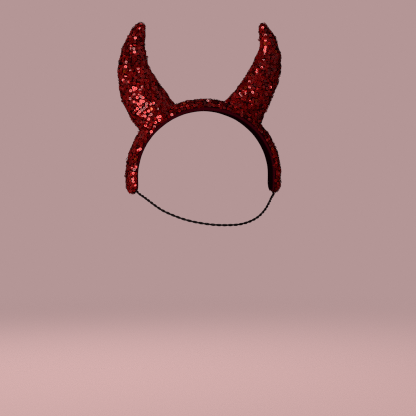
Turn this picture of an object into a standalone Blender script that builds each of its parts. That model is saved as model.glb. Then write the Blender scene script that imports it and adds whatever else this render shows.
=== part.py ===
"""Devil horns headband: a padded band with two stuffed horns and a thin elastic cord.

Metres, +Z up. The wearer looks along -Y and the wearer's left is +X. The origin is the
inside top of the band, where it sits on the head. Lengths along the band are measured on
its inner face from that point, positive towards the wearer's left. Heights on the band are
measured outward from the inner face.
"""
from collections import namedtuple
from math import atan, atan2, cos, pi, radians, sin, tan

import bmesh
import bpy
from mathutils import Vector

MM = 0.001

# Opening for the head, measured on the inner face of the lining
HEAD_HALF_WIDTH = 74.0 * MM
CROWN_HEIGHT = 69.5 * MM
LEG_LENGTH = 15.5 * MM
LEG_TOE_IN = radians(2.0)

# Padded band under its sequin cloth, domed on the outside
BAND_WIDTH = 26.5 * MM
BAND_END_WIDTH = 21.5 * MM
PAD_THICKNESS = 11.7 * MM
PAD_END_THICKNESS = 10.0 * MM
PAD_FULLNESS = 2.2
END_ROUNDING = 9.5 * MM

# Lining cloth on the inner face, turned up round both edges of the pad, less so at its ends
LINING_THICKNESS = 1.0 * MM
LINING_TURN_UP = 4.6 * MM
LINING_END_TURN_UP = 2.8 * MM
LINING_CORNER = 2.2 * MM
LINING_END_SETBACK = 1.5 * MM

# Gap between pieces that touch
CLEARANCE = 0.3 * MM

# Horns, both cut to one pattern. The left one is sewn on a little further down the side
HORN_BREADTH = 48.0 * MM
HORN_DEPTH = 30.0 * MM
HORN_TUCK = 0.3 * MM
HornSize = namedtuple("HornSize", "side seat length")
HORNS = {
    "horn_left": HornSize(side=1, seat=49.0 * MM, length=114.5 * MM),
    "horn_right": HornSize(side=-1, seat=40.5 * MM, length=111.0 * MM),
}

# Elastic cord behind the head
CORD_DIAMETER = 2.0 * MM

# How both ends of the band round off. back is the distance from the tip as a share of
# END_ROUNDING. width, height and turn_up are shares of the full section, and lift is how far
# the inner face turns away from the head, as a share of the pad's thickness
EndRow = namedtuple("EndRow", "back width height lift turn_up")
BAND_END = (
    EndRow(back=1.00, width=1.00, height=1.00, lift=0.00, turn_up=1.00),
    EndRow(back=0.75, width=0.98, height=0.98, lift=0.02, turn_up=0.94),
    EndRow(back=0.50, width=0.93, height=0.94, lift=0.05, turn_up=0.84),
    EndRow(back=0.28, width=0.84, height=0.88, lift=0.10, turn_up=0.72),
    EndRow(back=0.12, width=0.72, height=0.80, lift=0.16, turn_up=0.63),
    EndRow(back=0.03, width=0.60, height=0.73, lift=0.21, turn_up=0.58),
    EndRow(back=0.00, width=0.48, height=0.66, lift=0.26, turn_up=0.55),
)

# Sections up a horn. reach is the share of its length from the root. bend is how far the
# horn has turned inward from the band's own way out, in degrees. breadth and depth are
# shares of HORN_BREADTH and HORN_DEPTH. At the root the depth is the band's width instead
HornRow = namedtuple("HornRow", "reach left_bend right_bend left_breadth right_breadth depth")
HORN_SHAPE = (
    HornRow(reach=0.00, left_bend=0, right_bend=-1, left_breadth=1.00, right_breadth=1.00, depth=0.80),
    HornRow(reach=0.06, left_bend=1, right_bend=-1, left_breadth=0.99, right_breadth=0.96, depth=0.88),
    HornRow(reach=0.14, left_bend=2, right_bend=-2, left_breadth=0.97, right_breadth=0.88, depth=0.97),
    HornRow(reach=0.25, left_bend=5, right_bend=-3, left_breadth=0.96, right_breadth=0.80, depth=1.00),
    HornRow(reach=0.38, left_bend=14, right_bend=3, left_breadth=0.89, right_breadth=0.74, depth=0.96),
    HornRow(reach=0.50, left_bend=22, right_bend=10, left_breadth=0.75, right_breadth=0.70, depth=0.86),
    HornRow(reach=0.62, left_bend=35, right_bend=19, left_breadth=0.63, right_breadth=0.59, depth=0.73),
    HornRow(reach=0.75, left_bend=47, right_bend=36, left_breadth=0.48, right_breadth=0.44, depth=0.57),
    HornRow(reach=0.86, left_bend=55, right_bend=50, left_breadth=0.36, right_breadth=0.33, depth=0.43),
    HornRow(reach=0.94, left_bend=60, right_bend=53, left_breadth=0.25, right_breadth=0.23, depth=0.30),
    HornRow(reach=0.97, left_bend=62, right_bend=53, left_breadth=0.19, right_breadth=0.18, depth=0.23),
    HornRow(reach=0.99, left_bend=63, right_bend=53, left_breadth=0.12, right_breadth=0.12, depth=0.15),
    HornRow(reach=1.00, left_bend=63, right_bend=53, left_breadth=0.05, right_breadth=0.05, depth=0.06),
)

# Route of the elastic cord in millimetres, from the left end of the band round behind the
# head to the right end
CORD_ROUTE = (
    (76.6, 10.6, -84.6),
    (75.2, 18.0, -87.4),
    (72.0, 28.0, -90.6),
    (67.6, 40.0, -95.2),
    (62.5, 49.5, -100.0),
    (56.5, 57.8, -104.4),
    (44.0, 69.0, -110.2),
    (33.5, 75.0, -113.6),
    (22.0, 79.0, -116.0),
    (8.0, 81.5, -117.8),
    (-6.0, 81.5, -118.3),
    (-19.5, 79.0, -117.8),
    (-32.5, 73.5, -115.0),
    (-43.5, 66.3, -110.4),
    (-53.5, 55.7, -103.6),
    (-61.0, 44.2, -97.0),
    (-66.0, 34.5, -92.8),
    (-71.0, 23.0, -90.6),
    (-75.0, 12.0, -89.4),
    (-76.8, 4.5, -88.4),
)

# Fineness of the meshes
ARCH_STEPS = 240
BAND_STATIONS = 52
CROWN_STEPS = 10
HORN_RINGS = 28
TIP_CROWDING = 1.5
HORN_SIDES = 26
CORD_STEPS = 60


def through(pairs, x):
    """Smooth curve through (x, y) pairs, read at x."""
    last = len(pairs) - 1
    i = 0
    while i < last - 1 and x > pairs[i + 1][0]:
        i += 1

    def slope(k):
        low, high = max(k - 1, 0), min(k + 1, last)
        return (pairs[high][1] - pairs[low][1]) / (pairs[high][0] - pairs[low][0])

    (x0, y0), (x1, y1) = pairs[i], pairs[i + 1]
    span = x1 - x0
    t = (x - x0) / span
    return (
        (2 * t**3 - 3 * t**2 + 1) * y0
        + (t**3 - 2 * t**2 + t) * span * slope(i)
        + (3 * t**2 - 2 * t**3) * y1
        + (t**3 - t**2) * span * slope(i + 1)
    )


def half_arch():
    """Points of the inner face from the top down the left leg: an ellipse, then straight."""
    turn = pi / 2 + atan(tan(LEG_TOE_IN) * CROWN_HEIGHT / HEAD_HALF_WIDTH)
    points = []
    for k in range(ARCH_STEPS + 1):
        angle = turn * k / ARCH_STEPS
        points.append(Vector((HEAD_HALF_WIDTH * sin(angle), 0, CROWN_HEIGHT * (cos(angle) - 1))))
    down = Vector((-sin(LEG_TOE_IN), 0, -cos(LEG_TOE_IN)))
    points.append(points[-1] + down * LEG_LENGTH)
    return points


ARCH = half_arch()
HALF_LENGTH = sum((b - a).length for a, b in zip(ARCH, ARCH[1:]))


def on_arch(along):
    """Point of the inner face at a length from the top, and the way out from the head there."""
    side = 1 if along >= 0 else -1
    left = abs(along)
    for a, b in zip(ARCH, ARCH[1:]):
        step = (b - a).length
        if left <= step:
            break
        left -= step
    else:
        left += step
    way = (b - a).normalized()
    point = a + way * left
    return Vector((side * point.x, 0, point.z)), Vector((side * -way.z, 0, way.x))


def to_band(along, across, height):
    """Point at a length along the band, across it towards the back and out from the head."""
    point, out = on_arch(along)
    return point + out * height + Vector((0, across, 0))


def end_share(along, column):
    """Value of one column of BAND_END at a length from the top."""
    back = (HALF_LENGTH - abs(along)) / END_ROUNDING
    pairs = sorted((row.back, getattr(row, column)) for row in BAND_END)
    return through(pairs, min(max(back, 0), 1))


def towards_end(along, at_top, at_end):
    """A size that changes evenly from the top of the band to its ends."""
    return at_top + (at_end - at_top) * abs(along) / HALF_LENGTH


def band_half_width(along):
    return towards_end(along, BAND_WIDTH, BAND_END_WIDTH) / 2 * end_share(along, "width")


def pad_thickness(along):
    return towards_end(along, PAD_THICKNESS, PAD_END_THICKNESS)


def lift(along):
    """How far the inner face has turned away from the head near the ends."""
    return pad_thickness(along) * end_share(along, "lift")


def turn_up(along):
    """Height of the lining's turned-up edges above the inner face."""
    edge = towards_end(along, LINING_TURN_UP, LINING_END_TURN_UP)
    return edge * end_share(along, "turn_up")


def both_sides(side, top=()):
    """Whole outline from the points of the back half, bottom to top."""
    other = [(-across, height) for across, height in reversed(side)]
    return side + list(top) + other


def pad_section(along, grow=0.0):
    """Outline of the pad as (across, height) pairs, made larger all round by grow."""
    half = band_half_width(along)
    raised = lift(along)
    floor = raised + LINING_THICKNESS + CLEARANCE - grow
    inset = half - LINING_THICKNESS - CLEARANCE + grow
    shoulder = raised + turn_up(along) + CLEARANCE - grow
    corner = min(LINING_CORNER - LINING_THICKNESS, 0.6 * (shoulder - floor))
    top = LINING_THICKNESS + CLEARANCE + pad_thickness(along) * end_share(along, "height") + grow
    side = [
        (inset - corner, floor),
        (inset - 0.3 * corner, floor + 0.3 * corner),
        (inset, floor + corner),
        (inset, shoulder),
    ]
    for k in range(CROWN_STEPS):
        angle = pi / 2 * k / CROWN_STEPS
        across = (half + grow) * cos(angle) ** (2 / PAD_FULLNESS)
        side.append((across, shoulder + (top - shoulder) * sin(angle) ** (2 / PAD_FULLNESS)))
    return both_sides(side, [(0, top)])


def lining_section(along):
    """Outline of the lining: a flat strip with both edges turned up round the pad."""
    half = band_half_width(along)
    floor = lift(along)
    edge = turn_up(along)
    corner = min(LINING_CORNER, 0.9 * edge)
    inner = corner * (1 - LINING_THICKNESS / LINING_CORNER)
    inside = half - LINING_THICKNESS
    side = [
        (half - corner, floor),
        (half - 0.3 * corner, floor + 0.3 * corner),
        (half, floor + corner),
        (half, floor + edge),
        (inside, floor + edge),
        (inside, floor + LINING_THICKNESS + 0.6 * inner),
        (inside - 0.3 * inner, floor + LINING_THICKNESS + 0.2 * inner),
        (inside - inner, floor + LINING_THICKNESS),
    ]
    return both_sides(side)


def stations(setback=0.0):
    """Lengths along the band where its sections stand, closer together at the ends."""
    half = HALF_LENGTH - setback
    body = HALF_LENGTH - END_ROUNDING
    count = BAND_STATIONS // 2
    rows = [body * k / count for k in range(-count, count + 1)]
    for row in BAND_END[1:]:
        along = body + (half - body) * (1 - row.back)
        rows = [-along] + rows + [along]
    return rows


def loft(name, rings):
    """Closed body through a row of rings with as many points each, its ends capped."""
    mesh = bpy.data.meshes.new(name)
    bm = bmesh.new()
    loops = [[bm.verts.new(point) for point in ring] for ring in rings]
    for low, high in zip(loops, loops[1:]):
        for k in range(len(low)):
            after = (k + 1) % len(low)
            bm.faces.new((low[k], low[after], high[after], high[k]))
    bm.faces.new(list(reversed(loops[0])))
    bm.faces.new(loops[-1])
    bmesh.ops.recalc_face_normals(bm, faces=bm.faces)
    bm.to_mesh(mesh)
    bm.free()
    return bpy.data.objects.new(name, mesh)


def band_body(name, section, setback=0.0):
    """Body whose sections stand square to the arch."""
    rings = []
    for along in stations(setback):
        rings.append([to_band(along, across, height) for across, height in section(along)])
    return loft(name, rings)


def horn_body(name, size):
    """Stuffed horn as a loft of ovals up its bent spine, from a root inside the pad."""
    which = "left" if size.side > 0 else "right"

    def column(label, unit=1.0):
        return [(row.reach, getattr(row, label) * unit) for row in HORN_SHAPE]

    seat = size.side * size.seat
    bends = column(which + "_bend")
    breadths = column(which + "_breadth", HORN_BREADTH)
    depths = column("depth", HORN_DEPTH)
    depths[0] = (0, 2 * (band_half_width(seat) - HORN_TUCK))

    at = to_band(seat, 0, turn_up(seat) + 3 * CLEARANCE)
    out = on_arch(seat)[1]
    start = atan2(size.side * out.x, out.z)
    reaches = [1 - (1 - k / HORN_RINGS) ** TIP_CROWDING for k in range(HORN_RINGS + 1)]
    rings = []
    for reach, after in zip(reaches, reaches[1:] + [1.0]):
        lean = start - radians(through(bends, reach))
        wide = Vector((size.side * cos(lean), 0, -sin(lean))) * through(breadths, reach) / 2
        back = Vector((0, through(depths, reach) / 2, 0))
        ring = []
        for j in range(HORN_SIDES):
            turn = 2 * pi * j / HORN_SIDES
            ring.append(at + wide * cos(turn) + back * sin(turn))
        rings.append(ring)
        halfway = start - radians(through(bends, (reach + after) / 2))
        way = Vector((size.side * sin(halfway), 0, cos(halfway)))
        at = at + way * size.length * (after - reach)
    return loft(name, rings)


def cord_body(name):
    """Elastic cord as a round tube on a smooth curve through its route."""
    route = [Vector(point) * MM for point in CORD_ROUTE]
    reach = [0.0]
    for a, b in zip(route, route[1:]):
        reach.append(reach[-1] + (b - a).length)
    axes = [[(r, p[axis]) for r, p in zip(reach, route)] for axis in range(3)]
    curve = bpy.data.curves.new(name, "CURVE")
    curve.dimensions = "3D"
    curve.bevel_depth = CORD_DIAMETER / 2
    curve.bevel_resolution = 2
    curve.use_fill_caps = True
    spline = curve.splines.new("POLY")
    spline.points.add(CORD_STEPS)
    for k in range(CORD_STEPS + 1):
        length = reach[-1] * k / CORD_STEPS
        spline.points[k].co = (*[through(axis, length) for axis in axes], 1)
    return bpy.data.objects.new(name, curve)


def cut_by(body, cutter):
    cut = body.modifiers.new("seat on the band", "BOOLEAN")
    cut.operation = "DIFFERENCE"
    cut.solver = "EXACT"
    cut.object = cutter


def smooth(body, sharp_degrees):
    body.data.shade_smooth()
    body.data.set_sharp_from_angle(angle=radians(sharp_degrees))


def material(name, colour, roughness, metallic):
    made = bpy.data.materials.new(name)
    made.use_nodes = True
    shader = made.node_tree.nodes["Principled BSDF"]
    shader.inputs["Base Color"].default_value = (*colour, 1)
    shader.inputs["Roughness"].default_value = roughness
    shader.inputs["Metallic"].default_value = metallic
    return made


def build():
    for thing in list(bpy.data.objects):
        bpy.data.objects.remove(thing, do_unlink=True)
    parts = bpy.data.collections.new("devil_horns_headband")
    cutters = bpy.data.collections.new("cutters")
    bpy.context.scene.collection.children.link(parts)
    bpy.context.scene.collection.children.link(cutters)

    sequins = material("red sequin cloth", (0.19, 0.006, 0.006), 0.35, 0.4)
    lining = material("burgundy lining cloth", (0.026, 0.003, 0.007), 0.75, 0.0)
    elastic = material("black elastic cord", (0.006, 0.002, 0.003), 0.7, 0.0)

    band = band_body("band", pad_section)
    band.data.materials.append(sequins)
    smooth(band, 50)
    parts.objects.link(band)

    inner = band_body("band_lining", lining_section, LINING_END_SETBACK)
    inner.data.materials.append(lining)
    smooth(inner, 50)
    parts.objects.link(inner)

    seat = band_body("horn_seat_cutter", lambda along: pad_section(along, CLEARANCE))
    seat.hide_render = True
    seat.display_type = "WIRE"
    cutters.objects.link(seat)
    for name, size in HORNS.items():
        horn = horn_body(name, size)
        horn.data.materials.append(sequins)
        smooth(horn, 60)
        cut_by(horn, seat)
        parts.objects.link(horn)

    cord = cord_body("elastic_cord")
    cord.data.materials.append(elastic)
    parts.objects.link(cord)


build()
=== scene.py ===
"""Looks for the devil horns headband: sequin cloth over padding, lining and elastic cord.

Metres, +Z up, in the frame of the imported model. The wearer looks along -Y and the wearer's
left is +X. The origin is the inside top of the band.
"""

from collections import namedtuple
from math import cos, pi, radians, sin

import bmesh
import bpy
import numpy as np
from mathutils import Matrix, Vector
from mathutils.bvhtree import BVHTree


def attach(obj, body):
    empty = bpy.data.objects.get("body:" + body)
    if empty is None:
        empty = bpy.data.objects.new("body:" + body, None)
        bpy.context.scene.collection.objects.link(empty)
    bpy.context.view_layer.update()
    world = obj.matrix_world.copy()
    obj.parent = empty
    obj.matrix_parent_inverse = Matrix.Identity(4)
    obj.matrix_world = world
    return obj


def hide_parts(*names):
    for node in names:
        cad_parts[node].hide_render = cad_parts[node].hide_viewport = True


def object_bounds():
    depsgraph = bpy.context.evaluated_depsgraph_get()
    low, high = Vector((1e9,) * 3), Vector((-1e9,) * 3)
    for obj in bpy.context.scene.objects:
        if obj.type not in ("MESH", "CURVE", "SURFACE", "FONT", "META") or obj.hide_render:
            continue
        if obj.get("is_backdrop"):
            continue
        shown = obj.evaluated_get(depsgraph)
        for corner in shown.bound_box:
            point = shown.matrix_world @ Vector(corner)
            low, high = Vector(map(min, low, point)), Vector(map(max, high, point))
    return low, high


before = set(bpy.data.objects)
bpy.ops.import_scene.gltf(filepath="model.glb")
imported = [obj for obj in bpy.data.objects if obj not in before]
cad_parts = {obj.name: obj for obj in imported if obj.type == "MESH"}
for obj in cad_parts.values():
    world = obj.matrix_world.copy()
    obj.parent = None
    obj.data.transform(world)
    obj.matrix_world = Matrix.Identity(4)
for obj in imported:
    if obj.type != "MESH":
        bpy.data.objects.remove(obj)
MM = 0.001


def corners():
    """Lowest and highest corner of everything that shows, as plain numbers."""
    bpy.context.view_layer.update()
    return [[float(x) for x in corner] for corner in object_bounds()]


cad_box = corners()

# Photograph: seen from behind, turned towards the wearer's left and from slightly above
IMAGE_SIDE = 416
VIEW_TURN = radians(13.7)
VIEW_RISE = radians(3.0)
VIEW_DISTANCE = 1.8
PIXEL = 1.08 * MM
CROWN_AT = (203.9, 111.3)
SENSOR = 36.0

# Elastic cord: two covered strands twisted together
STRAND_RADIUS = 0.76 * MM
STRAND_OFFSET = 0.58 * MM
TWIST_PITCH = 12.5 * MM
CORD_STEPS = 340
STRAND_SIDES = 10

# Points of the cord in millimetres. The first and the last lie inside the ends of the band
CORD_ROUTE = (
    (77.3, 7.0, -83.0),
    (76.6, 10.6, -84.6),
    (75.2, 18.0, -87.4),
    (72.0, 28.0, -90.6),
    (67.6, 40.0, -95.2),
    (62.5, 49.5, -100.0),
    (56.5, 57.8, -104.4),
    (44.0, 69.0, -110.2),
    (33.5, 75.0, -113.6),
    (22.0, 79.0, -116.0),
    (8.0, 81.5, -117.8),
    (-6.0, 81.5, -118.3),
    (-19.5, 79.0, -117.8),
    (-32.5, 73.5, -115.0),
    (-43.5, 66.3, -110.4),
    (-53.5, 55.7, -103.6),
    (-61.0, 44.2, -97.0),
    (-66.0, 34.5, -92.8),
    (-71.0, 23.0, -90.6),
    (-75.0, 12.0, -89.4),
    (-76.8, 4.5, -88.4),
    (-77.4, 2.2, -85.4),
)

# Sequins: die-cut rings of metallised film, slightly cupped, sewn on so that they overlap
SEQUIN_RADIUS = 1.6 * MM
SEQUIN_HOLE = 0.45 * MM
SEQUIN_CUP = 0.03 * MM
SEQUIN_THICKNESS = 0.12 * MM
SEQUIN_SIDES = 16
SEQUIN_SPACING = 2.35 * MM
SEQUIN_STANDOFF = 0.2 * MM
SEQUIN_STACK = 0.5 * MM
THREAD_RADIUS = 0.13 * MM
ROW_TILT = radians(7)
ROW_CURL = 11 * MM
LAP_TILT = radians(7)
LAP_TURN = 20 * MM
LOOSE_TILT = radians(3.5)
STRAY_SHARE = 0.4
STRAY_TILT = radians(13)
PROUD_SHARE = 0.02
PROUD_TILT = radians(32)
ROW_TILT_SPREAD = (0.6, 1.3)
PROUD_TILT_SPREAD = (0.5, 1.4)
PROUD_LIFT = 0.6
TRIES_A_SPACING = 14

# Bare edge without sequins along the lining, and where a horn meets the band
BARE_AT_LINING = 0.7 * MM
BARE_AT_SEAM = 0.9 * MM

# Stitches: how far each end of the thread dips below its sequin, and how thin it gets there
STITCH_ROOT = 0.25 * MM
STITCH_TUCK = 0.3 * MM
STITCH_THIN = 0.2

# Middle of the head opening, as (x, z), which the lining's inner face looks at. A face that
# looks there gets a painted shade in place of the head's shadow: it begins past the first number below
# and is full the second number later
HEAD_CENTRE = (0.0, -60 * MM)
HEAD_SHADE_FROM = 0.35
HEAD_SHADE_OVER = 0.5

# Padding under the cloth: how deep it dimples, and over what length
DIMPLE_DEPTH = 0.3 * MM
DIMPLE_LENGTH = 13 * MM
LINING_DIMPLE_DEPTH = 0.08 * MM
LINING_DIMPLE_SEED = 31
SWELLS = 18

# Edges that fold by more than this many degrees stay sharp. No edge folds by 360
SEAM_FOLD = 45
NO_SEAM = 360

# Sequin cloths: subdivisions of the solid under each, and the seeds of its dimples and sewing
Cloth = namedtuple("Cloth", "node levels dimple_seed sewing_seed")
CLOTHS = (
    Cloth("band", levels=1, dimple_seed=11, sewing_seed=1050),
    Cloth("horn_left", levels=2, dimple_seed=12, sewing_seed=2110),
    Cloth("horn_right", levels=2, dimple_seed=13, sewing_seed=3100),
)

# Paper below the headband
PAPER_RADIUS = 2.4
PAPER_SIDES = 64
PAPER_HEIGHT = -0.42

# Soft lights. turn is in degrees from behind the headband towards +X, rise is in degrees
# and distance and size are in metres. A light that isn't glossy makes no glints
Light = namedtuple("Light", "name turn rise distance size radiance colour glossy")
LIGHTS = (
    Light("key", 35, -18, 1.5, (1.1, 0.9), 2.9, "#fff6f2", True),
    Light("fill", -50, 20, 2.0, (1.2, 1.2), 0.1, "#fdf4f6", True),
    Light("spark", 24, 36, 1.6, (0.34, 0.34), 3.4, "#fff4f0", True),
    Light("top", 10, 80, 1.6, (0.9, 0.5), 3.3, "#fff8f6", True),
    Light("front", 188, -26, 2.0, (0.9, 0.7), 3.0, "#fff4f2", True),
    Light("front fill", 180, 25, 1.6, (1.6, 1.2), 2.2, "#fff4f2", False),
)


def linear(hex_colour):
    """sRGB hex colour as linear red, green, blue and alpha."""
    parts = [int(hex_colour[i : i + 2], 16) / 255 for i in (1, 3, 5)]
    return [c / 12.92 if c <= 0.04045 else ((c + 0.055) / 1.055) ** 2.4 for c in parts] + [1.0]


def add(tree, kind, sockets=None, **settings):
    """Adds a shader node. sockets gives inputs a value, or the (node, output) they link to."""
    made = tree.nodes.new(kind)
    for key, value in settings.items():
        setattr(made, key, value)
    for key, value in (sockets or {}).items():
        if isinstance(value, tuple) and isinstance(value[0], bpy.types.Node):
            tree.links.new(value[0].outputs[value[1]], made.inputs[key])
        else:
            made.inputs[key].default_value = value
    return made


def ramp(tree, factor, stops):
    """Colour ramp through (position, hex colour) stops."""
    made = add(tree, "ShaderNodeValToRGB", {"Fac": factor})
    bar = made.color_ramp
    while len(bar.elements) < len(stops):
        bar.elements.new(1.0)
    for element, (position, colour) in zip(bar.elements, stops):
        element.position = position
        element.color = linear(colour)
    return made


def finish_material(name, build):
    """New material whose node tree is filled in by build(tree, shader)."""
    made = bpy.data.materials.new(name)
    made.use_nodes = True
    tree = made.node_tree
    tree.nodes.clear()
    shader = add(tree, "ShaderNodeBsdfPrincipled")
    add(tree, "ShaderNodeOutputMaterial", {"Surface": (shader, "BSDF")})
    build(tree, shader)
    return made


def dyed_metallised_film(tree, shader):
    """Polyester film, dyed red over aluminium: deep red mirror with a thin clear surface."""
    tone = add(tree, "ShaderNodeAttribute", attribute_name="tone")
    colour = ramp(
        tree,
        (tone, "Fac"),
        [(0.0, "#700506"), (0.4, "#b60b0c"), (0.99, "#e01a1b"), (0.993, "#e84818"), (1.0, "#f4661c")],
    )
    tree.links.new(colour.outputs["Color"], shader.inputs["Base Color"])
    shader.inputs["Metallic"].default_value = 0.65
    shader.inputs["Roughness"].default_value = 0.18
    shader.inputs["Specular Tint"].default_value = linear("#b02022")
    shader.inputs["Coat Weight"].default_value = 1.0
    shader.inputs["Coat Roughness"].default_value = 0.05
    shader.inputs["Coat IOR"].default_value = 1.64


def knitted_ground(tree, shader):
    """Stretch mesh that the sequins are sewn to: dull and dark wine red, with small loops."""
    place = add(tree, "ShaderNodeTexCoord")
    loops = add(
        tree,
        "ShaderNodeTexVoronoi",
        {"Vector": (place, "Object"), "Scale": 1 / (0.8 * MM)},
        feature="DISTANCE_TO_EDGE",
    )
    colour = ramp(tree, (loops, "Distance"), [(0.0, "#2c0103"), (0.25, "#110001")])
    bump = add(
        tree,
        "ShaderNodeBump",
        {"Height": (loops, "Distance"), "Strength": 0.6, "Distance": 0.3 * MM},
        invert=True,
    )
    tree.links.new(colour.outputs["Color"], shader.inputs["Base Color"])
    tree.links.new(bump.outputs["Normal"], shader.inputs["Normal"])
    shader.inputs["Roughness"].default_value = 0.95
    shader.inputs["Specular IOR Level"].default_value = 0.05


def brushed_lining(tree, shader):
    """Brushed burgundy lining cloth: close soft nap, with a painted shade on the inner face where the
    head would shade it.
    """
    place = add(tree, "ShaderNodeTexCoord")
    nap = add(
        tree,
        "ShaderNodeTexNoise",
        {"Vector": (place, "Object"), "Scale": 1 / (0.9 * MM), "Detail": 4.0},
    )
    colour = ramp(tree, (nap, "Fac"), [(0.3, "#31020b"), (0.7, "#510519")])
    # Painted shade: where the inner face looks at the head, the colour is mixed towards near black
    # #100104, standing in for the head's shadow
    pressed = add(tree, "ShaderNodeAttribute", attribute_name="pressed")
    head_shaded = add(
        tree,
        "ShaderNodeMix",
        {0: (pressed, "Fac"), 6: (colour, "Color"), 7: linear("#100104")},
        data_type="RGBA",
    )
    bump = add(
        tree,
        "ShaderNodeBump",
        {"Height": (nap, "Fac"), "Strength": 0.35, "Distance": 0.2 * MM},
    )
    tree.links.new(head_shaded.outputs[2], shader.inputs["Base Color"])
    tree.links.new(bump.outputs["Normal"], shader.inputs["Normal"])
    shader.inputs["Roughness"].default_value = 0.9
    shader.inputs["Specular IOR Level"].default_value = 0.0


def spun_thread(tree, shader):
    """Spun polyester sewing thread: dark red, dull, the same tone as the film."""
    shader.inputs["Base Color"].default_value = linear("#6a0a10")
    shader.inputs["Roughness"].default_value = 0.7
    shader.inputs["Specular IOR Level"].default_value = 0.3


def covered_elastic(tree, shader):
    """Rubber core wound with polyester yarn: near black, a dull satin on each strand."""
    place = add(tree, "ShaderNodeTexCoord")
    yarn = add(
        tree,
        "ShaderNodeTexNoise",
        {"Vector": (place, "Object"), "Scale": 1 / (0.5 * MM), "Detail": 3.0},
    )
    colour = ramp(tree, (yarn, "Fac"), [(0.3, "#060203"), (0.7, "#160509")])
    bump = add(
        tree,
        "ShaderNodeBump",
        {"Height": (yarn, "Fac"), "Strength": 0.4, "Distance": 0.1 * MM},
    )
    tree.links.new(colour.outputs["Color"], shader.inputs["Base Color"])
    tree.links.new(bump.outputs["Normal"], shader.inputs["Normal"])
    shader.inputs["Roughness"].default_value = 0.55
    shader.inputs["Specular IOR Level"].default_value = 0.3


def seamless_paper(tree, shader):
    """Dusty pink background paper: matt, and fading out far from the middle."""
    place = add(tree, "ShaderNodeTexCoord")
    away = add(
        tree,
        "ShaderNodeVectorMath",
        {0: (place, "Object")},
        operation="LENGTH",
    )
    fade = add(
        tree,
        "ShaderNodeMapRange",
        {"Value": (away, "Value"), "From Min": 0.5, "From Max": 2.2, "To Min": 1.0, "To Max": 0.0},
        interpolation_type="SMOOTHSTEP",
    )
    tree.links.new(fade.outputs["Result"], shader.inputs["Alpha"])
    shader.inputs["Base Color"].default_value = linear("#cdb3b2")
    shader.inputs["Roughness"].default_value = 0.9
    shader.inputs["Specular IOR Level"].default_value = 0.0
    shader.inputs["Emission Color"].default_value = linear("#b49696")
    shader.inputs["Emission Strength"].default_value = 0.65


SEQUIN_FILM = finish_material("metallised polyester film, die-cut sequins", dyed_metallised_film)
GROUND = finish_material("knitted stretch mesh ground", knitted_ground)
THREAD = finish_material("spun polyester thread, sequin stitches", spun_thread)
LINING = finish_material("brushed polyester lining", brushed_lining)
ELASTIC = finish_material("yarn-covered elastic, two-ply", covered_elastic)
PAPER = finish_material("seamless background paper", seamless_paper)


def mesh_from(name, points, faces, smooth_to):
    """Mesh from points and faces, shaded smooth up to an angle in degrees."""
    mesh = bpy.data.meshes.new(name)
    mesh.from_pydata(np.asarray(points, float).tolist(), [], np.asarray(faces).tolist())
    mesh.shade_smooth()
    mesh.set_sharp_from_angle(angle=radians(smooth_to))
    return mesh


def new_piece(mesh, material):
    """Object for a mesh that moves with the headband and takes its finish from a slot."""
    piece = bpy.data.objects.new(mesh.name, mesh)
    bpy.context.scene.collection.objects.link(piece)
    mesh.materials.clear()
    mesh.materials.append(material)
    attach(piece, "root")
    return piece


def make_camera():
    """Camera that puts the origin at CROWN_AT and spans PIXEL a pixel at its depth."""
    back = Vector(
        (sin(VIEW_TURN) * cos(VIEW_RISE), cos(VIEW_TURN) * cos(VIEW_RISE), sin(VIEW_RISE))
    )
    right = Vector((-cos(VIEW_TURN), sin(VIEW_TURN), 0))
    up = back.cross(right)
    across, down = [(at - IMAGE_SIDE / 2) * PIXEL for at in CROWN_AT]
    place = back * VIEW_DISTANCE - right * across + up * down
    data = bpy.data.cameras.new("camera")
    data.sensor_width = SENSOR
    data.lens = SENSOR * VIEW_DISTANCE / (PIXEL * IMAGE_SIDE)
    data.clip_start = 0.05
    camera = bpy.data.objects.new("camera", data)
    camera.matrix_world = Matrix.Translation(place) @ Matrix((right, up, back)).transposed().to_4x4()
    bpy.context.scene.collection.objects.link(camera)
    bpy.context.scene.camera = camera


def through(knots, values, at):
    """Smooth curve through rows of values at knots, read at several places."""
    knots, values = np.asarray(knots, float), np.asarray(values, float)
    slopes = np.gradient(values, axis=0) / np.gradient(knots)[:, None]
    i = np.clip(np.searchsorted(knots, at) - 1, 0, len(knots) - 2)
    span = (knots[i + 1] - knots[i])[:, None]
    t = (at - knots[i])[:, None] / span
    return (
        (2 * t**3 - 3 * t**2 + 1) * values[i]
        + (t**3 - 2 * t**2 + t) * span * slopes[i]
        + (3 * t**2 - 2 * t**3) * values[i + 1]
        + (t**3 - t**2) * span * slopes[i + 1]
    )


def unit(vectors):
    return vectors / np.maximum(np.linalg.norm(vectors, axis=-1, keepdims=True), 1e-12)


def carried_frames(path):
    """Two directions square to a path at each of its points, turning no more than it does."""
    along = unit(np.gradient(path, axis=0))
    first = np.cross(along[0], (0, 0, 1.0))
    sides = [unit(first)]
    for way in along[1:]:
        side = sides[-1] - way * np.dot(sides[-1], way)
        sides.append(unit(side))
    sides = np.array(sides)
    return sides, np.cross(along, sides)


def tube(path, radius, count):
    """Points and faces of a round tube along a path, closed at both ends."""
    side, other = carried_frames(path)
    turn = 2 * pi * np.arange(count) / count
    rings = path[:, None] + radius * (
        np.cos(turn)[None, :, None] * side[:, None] + np.sin(turn)[None, :, None] * other[:, None]
    )
    faces = []
    for row in range(len(path) - 1):
        for k in range(count):
            after = (k + 1) % count
            low, high = row * count, (row + 1) * count
            faces.append((low + k, low + after, high + after, high + k))
    points = np.vstack([rings.reshape(-1, 3), path[0], path[-1]])
    first, last = len(points) - 2, len(points) - 1
    top = (len(path) - 1) * count
    for k in range(count):
        after = (k + 1) % count
        faces.append((first, after, k))
        faces.append((last, top + k, top + after))
    return points, faces


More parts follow.
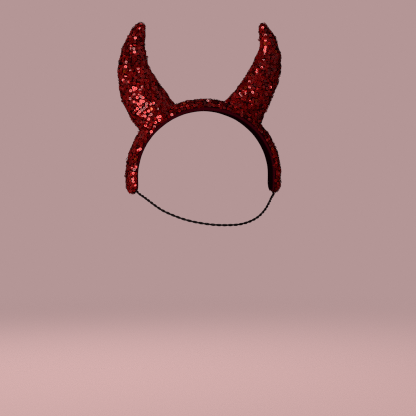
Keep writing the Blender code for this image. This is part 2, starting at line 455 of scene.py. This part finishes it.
def make_cord():
    """Two strands of elastic wound round each other along the cord's route."""
    route = np.array(CORD_ROUTE) * MM
    reach = np.concatenate([[0], np.cumsum(np.linalg.norm(np.diff(route, axis=0), axis=1))])
    path = through(reach, route, np.linspace(0, reach[-1], CORD_STEPS))
    steps = np.linalg.norm(np.diff(path, axis=0), axis=1)
    length = float(steps.sum())
    gone = np.concatenate([[0], np.cumsum(steps)])
    side, other = carried_frames(path)
    points, faces = [], []
    for start in (0, pi):
        turn = (2 * pi * gone / TWIST_PITCH + start)[:, None]
        strand = path + STRAND_OFFSET * (np.cos(turn) * side + np.sin(turn) * other)
        some_points, some_faces = tube(strand, STRAND_RADIUS, STRAND_SIDES)
        base = sum(len(p) for p in points)
        points.append(some_points)
        faces += [tuple(base + i for i in face) for face in some_faces]
    mesh = bpy.data.meshes.new("elastic_strands")
    mesh.from_pydata(np.vstack(points).tolist(), [], faces)
    mesh.shade_smooth()
    cord = new_piece(mesh, ELASTIC)
    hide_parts("elastic_cord")
    return length


def waves(points, length, seed):
    """Smooth random field over points, and its slope. length is the size of its swells."""
    rng = np.random.default_rng(seed)
    ways = unit(rng.normal(size=(SWELLS, 3))) * 2 * pi
    ways /= (length * rng.uniform(0.7, 1.5, SWELLS))[:, None]
    angles = points @ ways.T + rng.uniform(0, 2 * pi, SWELLS)
    size = np.sqrt(2 / SWELLS)
    return size * np.sin(angles).sum(axis=1), size * np.cos(angles) @ ways


def welded(node):
    """The CAD node's surface as a bmesh with its corners merged and its quads restored."""
    bm = bmesh.new()
    bm.from_mesh(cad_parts[node].data)
    bmesh.ops.remove_doubles(bm, verts=bm.verts, dist=0.001 * MM)
    return bm


def padded_form(node, name, levels, sharp_degrees, dimple, seed):
    """Fine cloth surface over a CAD node: subdivided, then dimpled a little by the stuffing."""
    bm = welded(node)
    bmesh.ops.join_triangles(
        bm, faces=bm.faces, angle_face_threshold=radians(35), angle_shape_threshold=radians(70)
    )
    crease = bm.edges.layers.float.new("crease_edge")
    for edge in bm.edges:
        if edge.calc_face_angle(0) > radians(sharp_degrees):
            edge[crease] = 1.0
    coarse = bpy.data.meshes.new(name + "_coarse")
    bm.to_mesh(coarse)
    bm.free()
    holder = bpy.data.objects.new(name + "_coarse", coarse)
    bpy.context.scene.collection.objects.link(holder)
    rounding = holder.modifiers.new("rounding", "SUBSURF")
    rounding.levels = rounding.render_levels = levels
    bpy.context.view_layer.update()
    mesh = bpy.data.meshes.new_from_object(
        holder.evaluated_get(bpy.context.evaluated_depsgraph_get())
    )
    bpy.data.objects.remove(holder, do_unlink=True)
    bpy.data.meshes.remove(coarse)
    mesh.name = name
    mesh.shade_smooth()
    points, normals = vertex_arrays(mesh)
    swell, _ = waves(points, DIMPLE_LENGTH, seed)
    mesh.vertices.foreach_set("co", (points + normals * (dimple * swell)[:, None]).ravel())
    mesh.update()
    return mesh


def vertex_arrays(mesh):
    """Places and smooth normals of a mesh's vertices."""
    count = len(mesh.vertices)
    points, normals = np.empty(count * 3), np.empty(count * 3)
    mesh.vertices.foreach_get("co", points)
    mesh.vertex_normals.foreach_get("vector", normals)
    return points.reshape(-1, 3), normals.reshape(-1, 3)


def tree_of(node):
    bm = welded(node)
    found = BVHTree.FromBMesh(bm)
    bm.free()
    return found


def spots(mesh, spacing, keep_off, seed):
    """Places at least spacing apart all over a mesh, with their normals.

    keep_off lists (search tree, distance) pairs of surfaces that no place comes close to.
    """
    rng = np.random.default_rng(seed)
    points, normals = vertex_arrays(mesh)
    mesh.calc_loop_triangles()
    corner = np.empty(len(mesh.loop_triangles) * 3, int)
    mesh.loop_triangles.foreach_get("vertices", corner)
    corner = corner.reshape(-1, 3)
    a, b, c = (points[corner[:, k]] for k in range(3))
    areas = np.linalg.norm(np.cross(b - a, c - a), axis=1) / 2
    tries = int(TRIES_A_SPACING * areas.sum() / spacing**2)
    face = rng.choice(len(areas), tries, p=areas / areas.sum())
    u, v = rng.random(tries), rng.random(tries)
    over = u + v > 1
    u[over], v[over] = 1 - u[over], 1 - v[over]
    share = np.stack([1 - u - v, u, v], axis=1)[:, :, None]
    places = (points[corner[face]] * share).sum(axis=1)
    facing = unit((normals[corner[face]] * share).sum(axis=1))

    cells = {}
    kept = []
    for i, key in enumerate(map(tuple, np.floor(places / spacing).astype(int))):
        near = [
            j
            for dx in (-1, 0, 1)
            for dy in (-1, 0, 1)
            for dz in (-1, 0, 1)
            for j in cells.get((key[0] + dx, key[1] + dy, key[2] + dz), ())
        ]
        if near and (((places[near] - places[i]) ** 2).sum(axis=1) < spacing**2).any():
            continue
        spot = Vector(places[i])
        if any(tree.find_nearest(spot, reach)[0] is not None for tree, reach in keep_off):
            continue
        cells.setdefault(key, []).append(i)
        kept.append(i)
    return places[kept], facing[kept]


def sequin_ring():
    """Points and faces of one sequin: a closed ring, flat above and bevelled below."""
    turn = 2 * pi * np.arange(SEQUIN_SIDES) / SEQUIN_SIDES
    middle = (SEQUIN_RADIUS + SEQUIN_HOLE) / 2
    loops = [
        (SEQUIN_HOLE, 0.0),
        (SEQUIN_RADIUS, SEQUIN_CUP),
        (middle, SEQUIN_CUP / 2 - SEQUIN_THICKNESS),
    ]
    points = [
        (radius * cos(angle), radius * sin(angle), height) for radius, height in loops for angle in turn
    ]
    faces = []
    for k in range(SEQUIN_SIDES):
        after = (k + 1) % SEQUIN_SIDES
        for low, high in ((0, 1), (1, 2), (2, 0)):
            low, high = low * SEQUIN_SIDES, high * SEQUIN_SIDES
            faces.append((low + k, high + k, high + after, low + after))
    return np.array(points), np.array(faces)


def stitch():
    """Points and faces of one stitch: from a sequin's hole over its rim into the cloth."""
    over = SEQUIN_CUP + THREAD_RADIUS
    path = [
        (0.0, -STITCH_ROOT, STITCH_THIN),
        (0.5 * SEQUIN_HOLE, 0.6 * over, 1.0),
        (SEQUIN_RADIUS, over, 1.0),
        (SEQUIN_RADIUS + 1.5 * THREAD_RADIUS, -STITCH_TUCK, STITCH_THIN),
    ]
    corners_of = [(cos(angle), sin(angle)) for angle in (pi / 2, pi * 7 / 6, pi * 11 / 6)]
    points = [
        (out, THREAD_RADIUS * share * across, height + THREAD_RADIUS * share * high)
        for out, height, share in path
        for across, high in corners_of
    ]
    faces = []
    for row in range(len(path) - 1):
        for k in range(3):
            low, after = 3 * row, (k + 1) % 3
            faces.append((low + k, low + after, low + 3 + after, low + 3 + k))
    return np.array(points), np.array(faces)


def copies(form, centre, along, across, up):
    """All copies of a small form as one set of points and faces, each in its own frame."""
    points, faces = form
    placed = centre[:, None] + (
        points[None, :, 0:1] * along[:, None]
        + points[None, :, 1:2] * across[:, None]
        + points[None, :, 2:3] * up[:, None]
    )
    shifts = np.arange(len(centre)) * len(points)
    return placed.reshape(-1, 3), (faces[None] + shifts[:, None, None]).reshape(-1, 4)


def sew_sequins(name, mesh, keep_off, seed):
    """Sequins all over a cloth, each tipped over its neighbour along the curling rows.

    The rows lap outward from the middle of the head on both sides.
    """
    places, facing = spots(mesh, SEQUIN_SPACING, keep_off, seed)
    count = len(places)
    rng = np.random.default_rng(seed + 1)
    _, slope = waves(places, ROW_CURL, seed + 2)
    row = unit(slope - facing * (slope * facing).sum(axis=1)[:, None])
    tilt = ROW_TILT * rng.uniform(*ROW_TILT_SPREAD, count)
    stray = rng.random(count) < STRAY_SHARE
    loose = rng.normal(size=(count, 3)) * np.tan(np.where(stray, STRAY_TILT, LOOSE_TILT))[:, None]
    proud = rng.random(count) < PROUD_SHARE
    tilt = np.where(proud, PROUD_TILT * rng.uniform(*PROUD_TILT_SPREAD, count), tilt)
    outward = np.clip(places[:, :1] / LAP_TURN, -1, 1) * np.array([[1.0, 0, 0]])
    outward = outward - facing * (outward * facing).sum(axis=1)[:, None]
    up = unit(facing + row * np.tan(tilt)[:, None] + outward * np.tan(LAP_TILT) + loose)
    side = unit(np.cross(up, rng.normal(size=(count, 3))))
    other = np.cross(up, side)
    lift = SEQUIN_STANDOFF + SEQUIN_STACK * rng.random(count)
    lift = lift + np.where(proud, SEQUIN_RADIUS * np.sin(tilt) * PROUD_LIFT, 0)
    centre = places + facing * lift[:, None]

    ring = sequin_ring()
    points, faces = copies(ring, centre, side, other, up)
    made = mesh_from(name + "_sequins", points, faces, smooth_to=40)
    tone = made.attributes.new("tone", "FLOAT", "POINT")
    tone.data.foreach_set("value", np.repeat(rng.random(count), len(ring[0])))
    new_piece(made, SEQUIN_FILM)

    low_side = unit(row - up * (row * up).sum(axis=1)[:, None])
    points, faces = copies(stitch(), centre, low_side, np.cross(up, low_side), up)
    new_piece(mesh_from(name + "_stitches", points, faces, smooth_to=180), THREAD)
    return count


def make_cloth():
    """Padded cloth forms, their sequins, and the lining."""
    trees = {name: tree_of(name) for name in ("band", "band_lining", "horn_left", "horn_right")}
    near_lining = (trees["band_lining"], BARE_AT_LINING)
    counts = {}
    for row in CLOTHS:
        cloth = padded_form(
            row.node, row.node + "_cloth", row.levels, SEAM_FOLD, DIMPLE_DEPTH, row.dimple_seed
        )
        piece = new_piece(cloth, GROUND)
        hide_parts(row.node)
        others = ("horn_left", "horn_right") if row.node == "band" else ("band",)
        keep_off = [(trees[other], BARE_AT_SEAM) for other in others] + [near_lining]
        counts[row.node] = sew_sequins(row.node, cloth, keep_off, row.sewing_seed)
    lining = padded_form(
        "band_lining", "lining_cloth", 1, NO_SEAM, LINING_DIMPLE_DEPTH, LINING_DIMPLE_SEED
    )
    # Painted shade: faces of the lining that look towards the head's middle are marked to be darkened,
    # standing in for the head's shadow
    points, normals = vertex_arrays(lining)
    inward = -(normals[:, (0, 2)] * unit(points[:, (0, 2)] - HEAD_CENTRE)).sum(axis=1)
    pressed = lining.attributes.new("pressed", "FLOAT", "POINT")
    pressed.data.foreach_set("value", np.clip((inward - HEAD_SHADE_FROM) / HEAD_SHADE_OVER, 0, 1))
    piece = new_piece(lining, LINING)
    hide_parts("band_lining")
    return counts


def soft_light(lamp):
    """Square soft light that shines on the headband."""
    turn, rise = radians(lamp.turn), radians(lamp.rise)
    away = Vector((sin(turn) * cos(rise), cos(turn) * cos(rise), sin(rise)))
    data = bpy.data.lights.new(lamp.name, "AREA")
    data.shape = "RECTANGLE"
    data.size, data.size_y = lamp.size
    data.energy = lamp.radiance * pi * lamp.size[0] * lamp.size[1]
    data.color = linear(lamp.colour)[:3]
    light = bpy.data.objects.new(lamp.name, data)
    light.matrix_world = (
        Matrix.Translation(away * lamp.distance) @ away.to_track_quat("Z", "Y").to_matrix().to_4x4()
    )
    light.visible_camera = False
    light.visible_glossy = lamp.glossy
    bpy.context.scene.collection.objects.link(light)


def make_studio():
    """Pale paper below, an even pale background, and soft lights round the camera."""
    turn = 2 * pi * np.arange(PAPER_SIDES) / PAPER_SIDES
    rim = [(PAPER_RADIUS * cos(a), PAPER_RADIUS * sin(a), 0.0) for a in turn]
    mesh = bpy.data.meshes.new("paper")
    mesh.from_pydata(rim, [], [tuple(range(PAPER_SIDES))])
    mesh.materials.append(PAPER)
    floor = bpy.data.objects.new("paper", mesh)
    floor.location = (0, 0, PAPER_HEIGHT)
    floor.visible_glossy = floor.visible_shadow = False
    bpy.context.scene.collection.objects.link(floor)
    floor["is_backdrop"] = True

    world = bpy.data.worlds.new("studio")
    bpy.context.scene.world = world
    world.use_nodes = True
    tree = world.node_tree
    tree.nodes.clear()
    path = add(tree, "ShaderNodeLightPath")
    way = add(tree, "ShaderNodeTexCoord")
    shapes = add(
        tree,
        "ShaderNodeTexNoise",
        {"Vector": (way, "Generated"), "Scale": 2.2, "Detail": 2.0},
    )
    dim = ramp(tree, (shapes, "Fac"), [(0.44, "#040101"), (0.56, "#6a4846"), (0.66, "#a88884")])
    axes = add(tree, "ShaderNodeSeparateXYZ", {"Vector": (way, "Generated")})
    beyond = add(
        tree,
        "ShaderNodeMapRange",
        {"Value": (axes, "Y"), "From Min": -0.15, "From Max": -0.6},
        interpolation_type="SMOOTHSTEP",
    )
    around = add(
        tree,
        "ShaderNodeMix",
        {0: (beyond, "Result"), 6: (dim, "Color"), 7: linear("#ff8c8c")},
        data_type="RGBA",
        blend_type="MULTIPLY",
    )
    dimming = add(
        tree,
        "ShaderNodeMapRange",
        {"Value": (axes, "X"), "From Min": -0.55, "From Max": 0.4, "To Min": 0.2, "To Max": 1.1},
    )
    room = add(
        tree, "ShaderNodeBackground", {"Color": (around, 2), "Strength": (dimming, "Result")}
    )
    paper = add(tree, "ShaderNodeBackground", {"Color": linear("#b49696"), "Strength": 1.0})
    either = add(
        tree,
        "ShaderNodeMixShader",
        {"Fac": (path, "Is Camera Ray"), 1: (room, "Background"), 2: (paper, "Background")},
    )
    add(tree, "ShaderNodeOutputWorld", {"Surface": (either, "Shader")})

    for lamp in LIGHTS:
        soft_light(lamp)
    scene = bpy.context.scene
    scene.view_settings.view_transform = "Standard"
    scene.cycles.use_denoising = False
    scene.cycles.filter_width = 1.1


make_camera()
cord_length = make_cord()
sequin_counts = make_cloth()
make_studio()
print("cord", round(cord_length, 4), "sequins", sequin_counts)

{"cad": cad_box, "visual": corners()}
